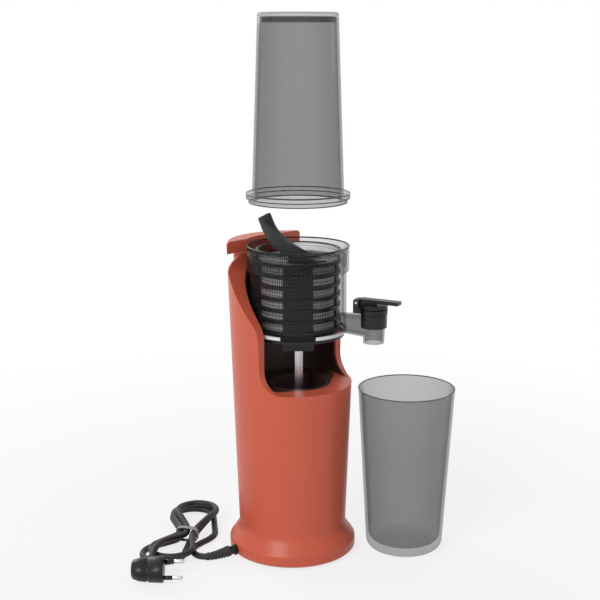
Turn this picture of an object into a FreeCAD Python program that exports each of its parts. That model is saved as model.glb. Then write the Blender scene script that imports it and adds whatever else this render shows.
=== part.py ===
import FreeCAD, Part
import math
import os
import re
import Sketcher

# Cold press juicer: a tall two-part column with a lift-out pressing bowl,
# a feed hopper, a tumbler for the juice and a mains cord.
# Millimetres, +Z up, the column's axis is Z, its front faces -Y, the table is z = 0.

SIZES = [
    # motor column
    ("foot_height", 2.0),
    ("base_radius", 64.0),
    ("base_rim", 13.0),
    ("cove_radius", 16.0),
    ("waist_radius", 54.0),
    ("waist_level", 34.0),
    ("deck_level", 176.0),
    ("shoulder_wall", 11.4),
    ("shoulder_level", 288.0),
    ("column_top", 318.0),
    ("wall", 3.0),
    ("grip_thickness", 12.0),
    ("grip_round", 4.0),
    ("grip_neck", 44.0),
    ("grip_slot", 3.0),
    ("shoulder_round", 19.0),
    ("bowl_setback", 8.0),
    ("scoop_front", 12.0),
    ("scoop_step", 238.0),
    ("scoop_back", 38.0),
    ("scoop_high", 290.0),
    ("liner_clear", 4.5),
    ("liner_wall", 1.4),
    ("well_radius", 28.0),
    ("well_depth", 18.0),
    ("duct_length", 56.0),
    ("duct_skin", 3.3),
    ("base_plate", 3.0),
    # fits
    ("gap", 0.3),
    ("running_fit", 0.05),
    # pressing bowl, measured up from its own floor
    ("bowl_raise", 49.0),
    ("bowl_foot", 3.0),
    ("bowl_radius", 47.5),
    ("bowl_wall", 2.2),
    ("bowl_floor", 4.0),
    ("bowl_height", 76.0),
    ("lid_clear", 2.5),
    ("lid_wall", 1.6),
    ("lid_bottom", 62.0),
    ("lid_top", 86.0),
    ("lid_step", 6.0),
    ("mouth_inset", 10.5),
    ("mouth_rim", 2.0),
    ("hub_half", 15.5),
    ("hub_drop", 17.0),
    ("cage_clear", 5.3),
    ("strainer_wall", 2.0),
    ("mesh_wall", 0.6),
    ("ring_rows", 6),
    ("ring_pitch", 11.0),
    ("ring_band", 3.4),
    ("ring_lip", 1.4),
    # auger
    ("stem_radius", 8.5),
    ("core_low", 22.0),
    ("core_high", 9.0),
    ("core_height", 72.0),
    ("flight_clear", 7.0),
    ("flight_thick", 5.0),
    ("flight_turns", 1.5),
    ("wing_inset", 2.5),
    ("wing_thick", 4.0),
    ("wing_width", 15.0),
    ("wing_rise", 36.0),
    ("wing_sweep", 124.0),
    ("wing_start", -104.0),
    ("wing_level", 70.0),
    ("wing_root", 24.0),
    # drive line
    ("shaft_radius", 4.75),
    ("shaft_top", 236.0),
    ("hex_clear", 3.0),
    ("motor_level", 20.0),
    ("motor_stack", 50.0),
    ("stator_radius", 36.0),
    ("rotor_radius", 20.0),
    ("air_gap", 0.5),
    ("rotor_shaft", 3.0),
    ("winding_height", 7.0),
    ("gearbox_level", 90.0),
    ("gearbox_radius", 50.6),
    ("gearbox_wall", 3.0),
    ("gear_module", 1.0),
    ("pinion_teeth", 12),
    ("wheel_teeth", 48),
    ("gear_face", 9.0),
    ("bearing_height", 5.0),
    ("bearing_wall", 4.0),
    # spout
    ("spout_angle", -75.0),
    ("spout_level", 14.0),
    ("spout_root", 9.5),
    ("spout_mouth", 12.0),
    ("spout_wall", 1.8),
    ("nozzle_reach", 82.0),
    ("nozzle_radius", 11.5),
    ("nozzle_foot", 10.0),
    ("nozzle_low", -2.0),
    ("nozzle_high", 31.0),
    ("collar_height", 4.5),
    ("collar_wall", 1.6),
    ("cap_thick", 3.0),
    ("pin_radius", 1.2),
    ("pin_rise", 5.5),
    ("lever_length", 32.0),
    ("lever_width", 9.0),
    # hopper and tumbler
    ("hopper_raise", 46.0),
    ("hopper_low", 44.5),
    ("hopper_high", 38.5),
    ("hopper_height", 170.0),
    ("hopper_wall", 2.2),
    ("flange_proud", 0.5),
    ("flange_height", 5.0),
    ("cap_height", 4.0),
    ("tumbler_x", 78.0),
    ("tumbler_y", -84.0),
    ("tumbler_top", 48.5),
    ("tumbler_foot", 38.5),
    ("tumbler_height", 168.0),
    ("tumbler_wall", 2.4),
    ("tumbler_floor", 9.0),
    ("tumbler_round", 9.0),
    # mains side
    ("switch_level", 62.0),
    ("switch_width", 15.0),
    ("switch_height", 21.0),
    ("switch_depth", 18.0),
    ("board_width", 40.0),
    ("board_height", 56.0),
    ("board_thick", 1.6),
    ("screw_radius", 2.0),
    ("foot_radius", 7.0),
    ("foot_circle", 46.0),
    ("cord_radius", 3.2),
    ("gland_angle", 161.0),
    ("plug_face", 12.5),
    ("plug_front", 14.0),
    ("plug_taper", 16.0),
    ("plug_tail", 9.0),
    ("prong_radius", 2.0),
    ("prong_length", 19.0),
    ("prong_spread", 19.0),
    ("prong_tilt", 30.0),
]

# Sizes that follow another piece's size by a named clearance, outermost first
FOLLOWS = [
    ("mouth_radius", "lid_radius - mouth_inset"),
    ("flange_radius", "lid_radius + flange_proud"),
    ("lid_radius", "bowl_radius + lid_clear"),
    ("wing_radius", "flight_radius - wing_inset"),
    ("flight_radius", "strainer_radius - flight_clear"),
    ("strainer_radius", "bowl_radius - bowl_wall - cage_clear"),
    ("shoulder_radius", "liner_radius + shoulder_wall"),
    ("liner_radius", "bowl_radius + liner_clear"),
    ("hex_level", "deck_level - well_depth + hex_clear"),
]

doc = FreeCAD.newDocument("ColdPressJuicer")
sheet = doc.addObject("Spreadsheet::Sheet", "Sizes")
for row, (alias, value) in enumerate(SIZES, 1):
    sheet.set("A%d" % row, alias)
    sheet.set("B%d" % row, str(value))
    sheet.setAlias("B%d" % row, alias)
doc.recompute()

WORDS = re.compile(r"\b(" + "|".join(alias for alias, value in SIZES) + r")\b")
PARTS = []


def bound(text):
    """The expression with each size's name pointing at its cell."""
    for alias, rule in FOLLOWS:
        text = re.sub(r"\b" + alias + r"\b", "(" + rule + ")", text)
    return WORDS.sub(r"Sizes.\1", text)


def size(text):
    """The present value of an expression of size names."""
    return float(sheet.evalExpression(bound(text)))


def place(item, x="0", y="0", z="0"):
    for axis, text in zip("xyz", (x, y, z)):
        if text != "0":
            item.setExpression("Placement.Base." + axis, bound(text))
    return item


def turn(item, text, axis=(0, 0, 1)):
    item.Placement.Rotation = FreeCAD.Rotation(FreeCAD.Vector(*axis), 0)
    item.Placement.Rotation.Axis = FreeCAD.Vector(*axis)
    item.setExpression("Placement.Rotation.Angle", bound(text))
    return item


def keep(item, label):
    """Names a finished sub-part, so that it is written out."""
    item.Label = label
    PARTS.append(item)
    return item


# Primitives bound to the sheet

def cylinder(name, radius, height, x="0", y="0", z="0"):
    item = doc.addObject("Part::Cylinder", name)
    item.setExpression("Radius", bound(radius))
    item.setExpression("Height", bound(height))
    return place(item, x, y, z)


def cone(name, low, high, height, x="0", y="0", z="0"):
    item = doc.addObject("Part::Cone", name)
    item.setExpression("Radius1", bound(low))
    item.setExpression("Radius2", bound(high))
    item.setExpression("Height", bound(height))
    return place(item, x, y, z)


def box(name, length, width, height, x="0", y="0", z="0"):
    """A box centred on x and y, standing on z."""
    item = doc.addObject("Part::Box", name)
    item.setExpression("Length", bound(length))
    item.setExpression("Width", bound(width))
    item.setExpression("Height", bound(height))
    return place(item, "%s - (%s) / 2" % (x, length), "%s - (%s) / 2" % (y, width), z)


def prism(name, sides, radius, height, x="0", y="0", z="0"):
    item = doc.addObject("Part::Prism", name)
    item.Polygon = sides
    item.setExpression("Circumradius", bound(radius))
    item.setExpression("Height", bound(height))
    return place(item, x, y, z)


def cut(name, base, tool):
    item = doc.addObject("Part::Cut", name)
    item.Base = base
    item.Tool = tool
    return item


def fuse(name, *shapes):
    item = doc.addObject("Part::MultiFuse", name)
    item.Shapes = list(shapes)
    item.Refine = True
    return item


def outward(name, radius, near, far, angle, level, x="0", y="0"):
    """A lying cylinder that points away from (x, y) at an angle about +Z."""
    item = cylinder(name, radius, "%s - (%s)" % (far, near))
    heading = math.radians(size(angle))
    axis = FreeCAD.Vector(-math.sin(heading), math.cos(heading), 0)
    item.Placement.Rotation = FreeCAD.Rotation(axis, 90)
    east = "%s + (%s) * cos(%s * 1 deg)" % (x, near, angle)
    north = "%s + (%s) * sin(%s * 1 deg)" % (y, near, angle)
    return place(item, east, north, level)


def carve(name, base, *tools):
    """One cut after another."""
    for number, tool in enumerate(tools, 1):
        last = number == len(tools)
        base = cut(name if last else "%s_%d" % (name, number), base, tool)
    return base


def group(name, *shapes):
    """Separate solids that share one sub-part."""
    item = doc.addObject("Part::Compound", name)
    item.Links = list(shapes)
    return item


def common(name, *shapes):
    item = doc.addObject("Part::MultiCommon", name)
    item.Shapes = list(shapes)
    return item


def ring(name, outer, inner, height, x="0", y="0", z="0"):
    wheel = cylinder(name + "_disc", outer, height, x, y, z)
    hole = cylinder(name + "_hole", inner, height, x, y, z)
    return cut(name, wheel, hole)


# Sketches bound to the sheet

def pin_down(sketch, geometry, point, x_text, y_text):
    """Holds one sketch point at two expressions, measured from the sketch's origin."""
    for kind, text, axis in (("DistanceX", x_text, -2), ("DistanceY", y_text, -1)):
        if text == "0":
            sketch.addConstraint(Sketcher.Constraint("PointOnObject", geometry, point, axis))
            continue
        value = size(text)
        ends = (-1, 1, geometry, point) if value >= 0 else (geometry, point, -1, 1)
        number = sketch.addConstraint(Sketcher.Constraint(kind, *ends, abs(value)))
        sign = "" if value >= 0 else "-1 * "
        sketch.setExpression("Constraints[%d]" % number, "%s(%s)" % (sign, bound(text)))


def draw(body, name, plane, corners):
    """A closed outline. A corner is (x, y) or (x, y, radius), each an expression."""
    sketch = body.newObject("Sketcher::SketchObject", name)
    flat = [item for item in body.Origin.OriginFeatures if item.Role == plane][0]
    sketch.AttachmentSupport = [(flat, "")]
    sketch.MapMode = "FlatFace"
    count = len(corners)
    spots = [FreeCAD.Vector(size(corner[0]), size(corner[1]), 0) for corner in corners]
    starts, ends, arcs = list(spots), [], {}
    for i, corner in enumerate(corners):
        if len(corner) < 3:
            continue
        before = (spots[i - 1] - spots[i]).normalize()
        after = (spots[(i + 1) % count] - spots[i]).normalize()
        half = before.getAngle(after) / 2
        reach = size(corner[2]) / math.tan(half)
        middle = spots[i] + (before + after).normalize() * (size(corner[2]) / math.sin(half))
        arcs[i] = (spots[i] + before * reach, spots[i] + after * reach, middle)
        starts[i] = arcs[i][1]
    for i in range(count):
        follow = (i + 1) % count
        ends.append(arcs[follow][0] if follow in arcs else spots[follow])
        sketch.addGeometry(Part.LineSegment(starts[i], ends[i]), False)
    for i, corner in enumerate(corners):
        previous = (i - 1) % count
        if i not in arcs:
            sketch.addConstraint(Sketcher.Constraint("Coincident", previous, 2, i, 1))
            pin_down(sketch, i, 1, corner[0], corner[1])
            continue
        first, last, middle = arcs[i]
        left_turn = (first - middle).cross(last - middle).z > 0
        begin, stop = (first, last) if left_turn else (last, first)
        circle = Part.Circle(middle, FreeCAD.Vector(0, 0, 1), size(corner[2]))
        angles = [math.atan2(spot.y - middle.y, spot.x - middle.x) for spot in (begin, stop)]
        bend = sketch.addGeometry(Part.ArcOfCircle(circle, *angles), False)
        point = sketch.addGeometry(Part.Point(spots[i]), True)
        pin_down(sketch, point, 1, corner[0], corner[1])
        sketch.addConstraint(Sketcher.Constraint("PointOnObject", point, 1, previous))
        sketch.addConstraint(Sketcher.Constraint("PointOnObject", point, 1, i))
        near, far = (1, 2) if left_turn else (2, 1)
        sketch.addConstraint(Sketcher.Constraint("Tangent", previous, 2, bend, near))
        sketch.addConstraint(Sketcher.Constraint("Tangent", bend, far, i, 1))
        number = sketch.addConstraint(Sketcher.Constraint("Radius", bend, size(corner[2])))
        sketch.setExpression("Constraints[%d]" % number, bound(corner[2]))
    return sketch


def turned(name, corners, angle=360):
    """A body turned about its Z axis from an outline of (radius, height) corners."""
    body = doc.addObject("PartDesign::Body", name)
    profile = draw(body, name + "_profile", "XZ_Plane", corners)
    solid = body.newObject("PartDesign::Revolution", name + "_turned")
    solid.Profile = profile
    solid.ReferenceAxis = (profile, ["V_Axis"])
    solid.Angle = angle
    return body


def padded(name, plane, corners, length):
    """A body padded to both sides of a plane from an outline."""
    body = doc.addObject("PartDesign::Body", name)
    profile = draw(body, name + "_outline", plane, corners)
    solid = body.newObject("PartDesign::Pad", name + "_pad")
    solid.Profile = profile
    solid.SideType = "Symmetric"
    solid.setExpression("Length", bound(length))
    return body


# Motor column

OUTSIDE = [
    ("0", "foot_height"),
    ("base_radius - 2", "foot_height"),
    ("base_radius", "foot_height + 2"),
    ("base_radius", "base_rim", "4"),
    ("waist_radius", "waist_level - 7", "cove_radius"),
    ("shoulder_radius", "shoulder_level"),
    ("shoulder_radius + 1", "column_top", "grip_round"),
    ("0", "column_top"),
]


def scoop_outline(clear):
    """The front cut, seen from the side: deck, rounded corner, S-shaped edge, open top."""
    front = "-scoop_front + " + clear
    return [
        ("-2 * base_radius", "deck_level"),
        (front, "deck_level", "22"),
        (front, "scoop_step", "26"),
        ("scoop_back + " + clear, "scoop_high", "16"),
        ("scoop_back + " + clear, "column_top + 20"),
        ("-2 * base_radius", "column_top + 20"),
    ]


def chamber_outline():
    """The motor chamber inside the column's skin, from the open foot to the deck."""
    slope = "(shoulder_radius - waist_radius) / (shoulder_level - waist_level + 7)"
    roof = "deck_level - wall"
    return [
        ("0", "0"),
        ("base_radius - wall", "0"),
        ("base_radius - wall", "base_rim - wall"),
        ("waist_radius - wall", "waist_level - wall"),
        ("waist_radius - wall + %s * (%s - waist_level)" % (slope, roof), roof),
        ("0", roof),
    ]


def grip_outline():
    """The slot under the carrying grip: flat above, the shoulder's round below."""
    roof = "column_top - grip_thickness"
    floor = roof + " - grip_slot"
    return [
        ("0", floor),
        ("shoulder_radius + 0.6", floor, "shoulder_round"),
        ("shoulder_radius + 0.6", floor + " - 1.6 * shoulder_round"),
        ("base_radius + 10", floor + " - 1.6 * shoulder_round"),
        ("base_radius + 10", roof),
        ("0", roof),
    ]


def housing():
    """The coral column: base flange, motor chamber, deck with its well, back wall and grip."""
    column = turned("column", OUTSIDE)
    chamber = turned("chamber", chamber_outline())
    cup = cylinder("well_cup", "well_radius + wall", "well_depth + wall", "0", "-bowl_setback",
                   "deck_level - well_depth - wall")
    well = cylinder("well", "well_radius", "well_depth + 1", "0", "-bowl_setback",
                    "deck_level - well_depth")
    shaft_hole = cylinder("deck_hole", "shaft_radius + 3", "well_depth + 2 * wall", "0",
                          "-bowl_setback", "deck_level - well_depth - 2 * wall")
    scoop = padded("scoop", "YZ_Plane", scoop_outline("0"), "4 * base_radius")
    bore = cylinder("bowl_bore", "liner_radius", "column_top", "0", "-bowl_setback", "deck_level")
    slot = turned("slot_ring", grip_outline())
    neck = box("neck", "grip_neck", "4 * base_radius", "column_top", "0", "2 * base_radius")
    grip = cut("grip_slots", slot, neck)
    duct_top = "column_top - grip_thickness - grip_slot - shoulder_round"
    duct_low = "deck_level - well_depth - 2 * wall"
    duct = ring("duct", "(waist_radius + shoulder_radius) / 2 - duct_skin", "liner_radius + wall",
                duct_top + " - (%s)" % duct_low, z=duct_low)
    duct.Tool.setExpression("Placement.Base.y", bound("-bowl_setback"))
    duct_block = box("duct_block", "duct_length", "2 * base_radius", "column_top", "0",
                     "scoop_back + 4 + base_radius")
    rear = common("rear_duct", duct, duct_block)
    hollow = cut("column_hollow", column, chamber)
    shell = fuse("shell_with_cup", hollow, cup)
    switch_hole = box("switch_hole", "switch_width", "4 * wall", "switch_height", "0",
                      "waist_radius", "switch_level - switch_height / 2")
    cord_hole = outward("cord_hole", "cord_radius + 1.6", "base_radius - 9", "base_radius + 2",
                        "gland_angle", "base_rim / 2 + 1")
    plain = carve("housing_plain", shell, scoop, bore, grip, well, shaft_hole, rear,
                  switch_hole, cord_hole)

    return keep(plain, "body_housing")


def liner():
    """The dark lining of the bowl's place, inside the back wall."""
    tube = ring("liner_tube", "liner_radius", "liner_radius - liner_wall",
                "column_top - grip_thickness - grip_slot - deck_level - 2", "0", "-bowl_setback",
                "deck_level")
    front = padded("liner_front", "YZ_Plane", scoop_outline("2"), "4 * base_radius")
    return keep(cut("liner_cut", tube, front), "cavity_liner")


def base_parts():
    """The bottom plate with its feet and screws."""
    disc = cylinder("plate_disc", "base_radius - wall - gap", "base_plate", z="foot_height")
    keep(disc, "base_plate")
    feet, screws = [], []
    for i in range(4):
        spot = "%d" % (45 + 90 * i)
        x = "foot_circle * cos(%s deg)" % spot
        y = "foot_circle * sin(%s deg)" % spot
        feet.append(cylinder("foot_%d" % i, "foot_radius", "foot_height", x, y))
        x = "foot_circle * cos(%d deg)" % (90 * i)
        y = "foot_circle * sin(%d deg)" % (90 * i)
        screws.append(cylinder("base_screw_%d" % i, "screw_radius * 1.8", "1.2", x, y,
                               "foot_height - 1.2"))
    keep(group("feet_group", *feet), "rubber_feet")
    keep(group("screw_group", *screws), "base_screws")


# Motor and gearbox, all on the bowl's axis

AXLE = ("0", "-bowl_setback")
FLOOR = "foot_height + base_plate"
CEILING = "deck_level - well_depth - wall"


def motor():
    keep(ring("motor_can", "stator_radius + 2", "stator_radius", "gearbox_level - (%s)" % FLOOR,
              *AXLE, FLOOR), "motor_can")
    keep(ring("stator", "stator_radius", "rotor_radius + air_gap", "motor_stack", *AXLE,
              "motor_level"), "motor_stator")
    lower = ring("lower_coil", "stator_radius - 3", "rotor_radius + 2", "winding_height", *AXLE,
                 "motor_level - winding_height")
    upper = ring("upper_coil", "stator_radius - 3", "rotor_radius + 2", "winding_height", *AXLE,
                 "motor_level + motor_stack")
    keep(group("coils", lower, upper), "motor_windings")
    keep(ring("rotor", "rotor_radius", "rotor_shaft", "motor_stack", *AXLE, "motor_level"),
         "motor_rotor")
    top = "gearbox_level + gearbox_wall + 3 + gear_face"
    keep(cylinder("spindle", "rotor_shaft", "%s - (%s) - 1" % (top, FLOOR), *AXLE, FLOOR + " + 1"),
         "motor_spindle")
    for label, level in (("lower_bearing", FLOOR), ("upper_bearing", "gearbox_level - bearing_height")):
        keep(ring(label, "rotor_shaft + bearing_wall", "rotor_shaft + running_fit",
                  "bearing_height", *AXLE, level), label)
    spider = ring("spider_disc", "stator_radius", "rotor_shaft + bearing_wall", "2", *AXLE,
                  "gearbox_level - 2 - gap")
    keep(spider, "bearing_spider")


def gearbox():
    plate = ring("gear_plate", "gearbox_radius", "pinion_teeth * gear_module / 2 + 2",
                 "gearbox_wall", "0", "0", "gearbox_level")
    plate.Tool.setExpression("Placement.Base.y", bound("-bowl_setback"))
    keep(plate, "gearbox_plate")
    height = CEILING + " - gearbox_level - gearbox_wall"
    case = cylinder("case_out", "gearbox_radius", height, z="gearbox_level + gearbox_wall")
    room = cylinder("case_in", "gearbox_radius - gearbox_wall", height + " - gearbox_wall",
                    z="gearbox_level + gearbox_wall")
    hole = cylinder("case_hole", "shaft_radius + 1", "3 * gearbox_wall", *AXLE,
                    CEILING + " - 2 * gearbox_wall")
    keep(carve("case", case, room, hole), "gearbox_cover")
    keep(ring("output_bearing", "shaft_radius + bearing_wall + 2", "shaft_radius + running_fit",
              "bearing_height", *AXLE, CEILING + " - gearbox_wall - bearing_height"),
         "output_bearing")
    keep(ring("seal", "shaft_radius + 3", "shaft_radius + running_fit", "wall + 0.6", *AXLE,
              CEILING), "shaft_seal")


def gear(name, teeth, height, shift, bore, x, y, z):
    """A spur gear with flanks on the involute's two ends and middle, 25 degree pressure."""
    count = int(size(teeth))
    module = size("gear_module")
    pitch = module * count / 2
    base = pitch * math.cos(math.radians(25))
    tip, root = pitch + 0.8 * module, pitch - 1.1 * module
    start = max(base, root)
    backlash = 0.1 * module

    def roll(radius):
        along = math.acos(min(1, base / radius))
        return math.tan(along) - along

    half = math.pi / (2 * count) - backlash / pitch + roll(pitch)

    heel = half - roll(start)

    def spot(radius, angle):
        return FreeCAD.Vector(radius * math.cos(angle), radius * math.sin(angle), 0)

    edges = []
    for i in range(count):
        centre = 2 * math.pi * i / count + math.radians(shift)
        sides = []
        for side in (-1, 1):
            flank = [spot(r, centre + side * (half - roll(r))) for r in (start, (start + tip) / 2, tip)]
            foot = spot(root, centre + side * heel)
            sides.append((flank, foot))
        (left, left_foot), (right, right_foot) = sides
        if root < base:
            edges.append(Part.LineSegment(left_foot, left[0]).toShape())
        edges.append(Part.Arc(*left).toShape())
        edges.append(Part.Arc(left[2], spot(tip, centre), right[2]).toShape())
        edges.append(Part.Arc(*reversed(right)).toShape())
        if root < base:
            edges.append(Part.LineSegment(right[0], right_foot).toShape())
        following = centre + 2 * math.pi / count - heel
        last = edges[-1].Vertexes[-1].Point
        edges.append(Part.Arc(last, spot(root, centre + math.pi / count), spot(root, following)).toShape())
    outline = Part.Wire(Part.__sortEdges__(edges))
    solid = Part.Face(outline).extrude(FreeCAD.Vector(0, 0, size(height)))
    if bore != "0":
        solid = solid.cut(Part.makeCylinder(size(bore), size(height)))
    item = doc.addObject("Part::Feature", name)
    item.Shape = solid
    return place(item, x, y, z)


def gears():
    """A two-stage reduction that returns to the motor's own axis."""
    reach = "gear_module * (pinion_teeth + wheel_teeth) / 2"
    idler = ("0", "-bowl_setback + " + reach)
    low = "gearbox_level + gearbox_wall + 2"
    high = low + " + gear_face + 3"
    keep(gear("motor_pinion", "pinion_teeth", "gear_face", 0, "rotor_shaft", *AXLE, low),
         "motor_pinion")
    offset = 180 / size("wheel_teeth")
    wheel = gear("idler_wheel", "wheel_teeth", "gear_face", offset, "rotor_shaft + running_fit",
                 *idler, low)
    keep(wheel, "idler_gear")
    keep(gear("idler_pinion", "pinion_teeth", "gear_face + 3", 0, "rotor_shaft + running_fit",
              *idler, low + " + gear_face"), "idler_pinion")
    top = CEILING + " - gearbox_wall - (gearbox_level + gearbox_wall)"
    keep(cylinder("idler_pin", "rotor_shaft", top, *idler, "gearbox_level + gearbox_wall"),
         "idler_pin")
    keep(gear("output_wheel", "wheel_teeth", "gear_face", offset, "shaft_radius", *AXLE, high),
         "output_gear")
    low_end = high + " - 0.5"
    round_part = cylinder("shaft_round", "shaft_radius", "hex_level - (%s)" % low_end, *AXLE, low_end)
    hex_part = prism("shaft_hex", 6, "shaft_radius", "shaft_top - hex_level", *AXLE, "hex_level")
    keep(fuse("shaft", round_part, hex_part), "drive_shaft")


# The lift-out bowl and what it carries. LIFT is the height of the bowl's floor.

LIFT = "deck_level + gap + bowl_foot + bowl_raise"


def bowl():
    inner = "bowl_radius - bowl_wall"
    wall = turned("bowl_turned", [
        ("stem_radius + gap", "0"),
        ("bowl_radius - 2", "0"),
        ("bowl_radius", "2"),
        ("bowl_radius", "bowl_height"),
        (inner, "bowl_height"),
        (inner, "bowl_floor", "3"),
        ("stem_radius + gap", "bowl_floor"),
    ])
    place(wall, *AXLE, LIFT)
    port = outward("bowl_port", "spout_root - spout_wall", inner + " - 4", "bowl_radius + 6",
                   "spout_angle", LIFT + " + spout_level", *AXLE)
    keep(cut("bowl_shell", wall, port), "juicing_bowl")
    block = box("hub_block", "2 * hub_half", "2 * hub_half", "hub_drop", *AXLE,
                LIFT + " - hub_drop")
    turn_about_axle(block, "43")
    bore = cylinder("hub_bore", "stem_radius + gap", "hub_drop", *AXLE, LIFT + " - hub_drop")
    keep(cut("hub", block, bore), "bowl_hub")
    keep(ring("foot_ring", "bowl_radius - 2", "bowl_radius - 5", "bowl_foot", *AXLE,
              LIFT + " - bowl_foot"), "bowl_foot_ring")


def turn_about_axle(item, degrees):
    """Turns a box, which is placed by its corner, about the bowl's axis."""
    centre = FreeCAD.Vector(size(AXLE[0]), size(AXLE[1]), 0)
    doc.recompute()
    item.setExpression("Placement.Base.x", None)
    item.setExpression("Placement.Base.y", None)
    swing = FreeCAD.Placement(FreeCAD.Vector(), FreeCAD.Rotation(float(degrees), 0, 0), centre)
    item.Placement = swing.multiply(item.Placement)
    return item


def lid():
    """The smoked ring that locks on the bowl, with the feed mouth in its top."""
    outer = "lid_radius - lid_wall"
    shelf = "lid_top - lid_step"
    shape = turned("lid_turned", [
        ("bowl_radius + gap", "lid_bottom"),
        ("lid_radius", "lid_bottom"),
        ("lid_radius", "lid_top"),
        (outer, "lid_top"),
        (outer, shelf),
        ("mouth_radius + mouth_rim", shelf),
        ("mouth_radius + mouth_rim", shelf + " + 2"),
        ("mouth_radius", shelf + " + 2"),
        ("mouth_radius", shelf + " - 2"),
        ("bowl_radius + gap", shelf + " - 2"),
    ])
    keep(place(shape, *AXLE, LIFT), "bowl_lid")


def strainer():
    """A cage of stacked rings with four wide bars, backed by fine mesh."""
    base = "bowl_floor + gap"
    tall = "ring_rows * ring_pitch + ring_band"
    level = "(%s) + %s" % (LIFT, base)
    shell = ring("cage", "strainer_radius", "strainer_radius - strainer_wall", tall, *AXLE, level)
    windows = []
    for row in range(int(size("ring_rows"))):
        height = "(%s) + ring_band + %d * ring_pitch" % (level, row)
        for side, angle in enumerate((-92, -182)):
            slot = box("window_%d_%d" % (row, side), "3 * strainer_radius", "0.8 * strainer_radius",
                       "ring_pitch - ring_band", *AXLE, height)
            windows.append(turn_about_axle(slot, angle))
    pierced = cut("cage_open", shell, fuse("windows", *windows))
    lips = [ring("lip_%d" % row, "strainer_radius + ring_lip", "strainer_radius - strainer_wall",
                 "ring_band", *AXLE, "(%s) + %d * ring_pitch" % (level, row))
            for row in range(int(size("ring_rows")) + 1)]
    keep(fuse("cage_rings", pierced, *lips), "strainer_cage")
    keep(ring("mesh", "strainer_radius - strainer_wall", "strainer_radius - strainer_wall - mesh_wall",
              tall, *AXLE, level), "strainer_mesh")


def helix_band(pitch, rise, inner, outer, width, start):
    """A flat-edged band wound clockwise as it climbs, from a start angle in degrees."""
    middle = (inner + outer) / 2
    path = Part.makeHelix(pitch, rise, middle, 0, True)
    half = (outer - inner) / 2
    corners = [FreeCAD.Vector(middle + x * half, 0, z)
               for x, z in ((-1, 0), (1, 0), (1, width), (-1, width))]
    section = Part.makePolygon(corners + corners[:1])
    band = Part.Wire(path.Edges).makePipeShell([section], True, True)
    band.rotate(FreeCAD.Vector(), FreeCAD.Vector(0, 0, 1), start)
    return band


def auger():
    """The screw: a tapering core, its flight, and the wing that stands out of the lid."""
    base = size("bowl_floor + gap")
    core = Part.makeCone(size("core_low"), size("core_high"), size("core_height"))
    core.translate(FreeCAD.Vector(0, 0, base))
    stem_low = -size("hub_drop") + 1
    stem = Part.makeCylinder(size("stem_radius"), base + 4 - stem_low, FreeCAD.Vector(0, 0, stem_low))
    rise = size("wing_level - flight_thick") - base
    turns = size("flight_turns")
    flight = helix_band(rise / turns, rise, 7, size("flight_radius"), size("flight_thick"),
                        size("wing_start") + 360 * turns)
    flight.translate(FreeCAD.Vector(0, 0, base))
    per_degree = size("wing_rise / wing_sweep")
    root = size("wing_root")
    wing = helix_band(360 * per_degree, size("wing_rise") + root * per_degree,
                      size("wing_radius - wing_thick / 2"), size("wing_radius + wing_thick / 2"),
                      size("wing_width"), size("wing_start") + root)
    wing.translate(FreeCAD.Vector(0, 0, size("wing_level - flight_thick") - root * per_degree))
    shape = core.fuse([stem, flight, wing])
    hexagon = doc.addObject("Part::Prism", "auger_socket_tool")
    hexagon.Circumradius = size("shaft_radius + 0.25")
    hexagon.Height = size("shaft_top - deck_level") - stem_low + 2
    hexagon.Polygon = 6
    hexagon.Placement.Base.z = stem_low - 1
    doc.recompute()
    shape = shape.cut(hexagon.Shape)
    item = doc.addObject("Part::Feature", "auger_screw")
    item.Shape = shape.removeSplitter()
    keep(place(item, *AXLE, LIFT), "auger")


# Juice spout. It is drawn along +X from the bowl's axis and then swung to its angle.

def swing(item, name):
    """A copy of the spout's piece, swung about the bowl's axis to the spout's angle."""
    holder = doc.addObject("Part::Compound", name)
    holder.Links = [item]
    turn(holder, "spout_angle")
    return place(holder, *AXLE)


def spout():
    level = "(%s) + spout_level" % LIFT
    low = "(%s) + nozzle_low" % LIFT
    tall = "nozzle_high - nozzle_low"
    across = FreeCAD.Rotation(FreeCAD.Vector(0, 1, 0), 90)
    tube = cone("spout_out", "spout_root", "spout_mouth", "nozzle_reach - bowl_radius + 4",
                "bowl_radius - 4", "0", level)
    bore = cone("spout_in", "spout_root - spout_wall", "spout_mouth - spout_wall",
                "nozzle_reach - bowl_radius + 6", "bowl_radius - 6", "0", level)
    tube.Placement.Rotation = across
    bore.Placement.Rotation = across
    nozzle = cone("nozzle_out", "nozzle_foot", "nozzle_radius", tall, "nozzle_reach", "0", low)
    throat = cone("nozzle_in", "nozzle_foot - spout_wall", "nozzle_radius - spout_wall", tall,
                  "nozzle_reach", "0", low)
    bowl_skin = cylinder("bowl_skin", "bowl_radius", "2 * nozzle_high", "0", "0", low + " - 5")
    face = padded("nozzle_face", "XZ_Plane", [
        ("nozzle_reach", low + " - 9"),
        ("nozzle_reach + 3 * nozzle_radius", low + " - 9"),
        ("nozzle_reach + 3 * nozzle_radius", "(%s) + nozzle_high + 9" % LIFT),
        ("nozzle_reach", "(%s) + nozzle_high + 9" % LIFT),
    ], "6 * nozzle_radius")
    beyond = cut("beyond_nozzle", face, cylinder("nozzle_keep", "nozzle_foot", "4 * nozzle_high",
                                                 "nozzle_reach", "0", low + " - 20"))
    stub = cut("spout_stub", tube, beyond)
    body = carve("spout_body", fuse("spout_skin", stub, nozzle), bowl_skin, bore, throat)
    keep(swing(body, "spout_swung"), "juice_spout")


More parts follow.
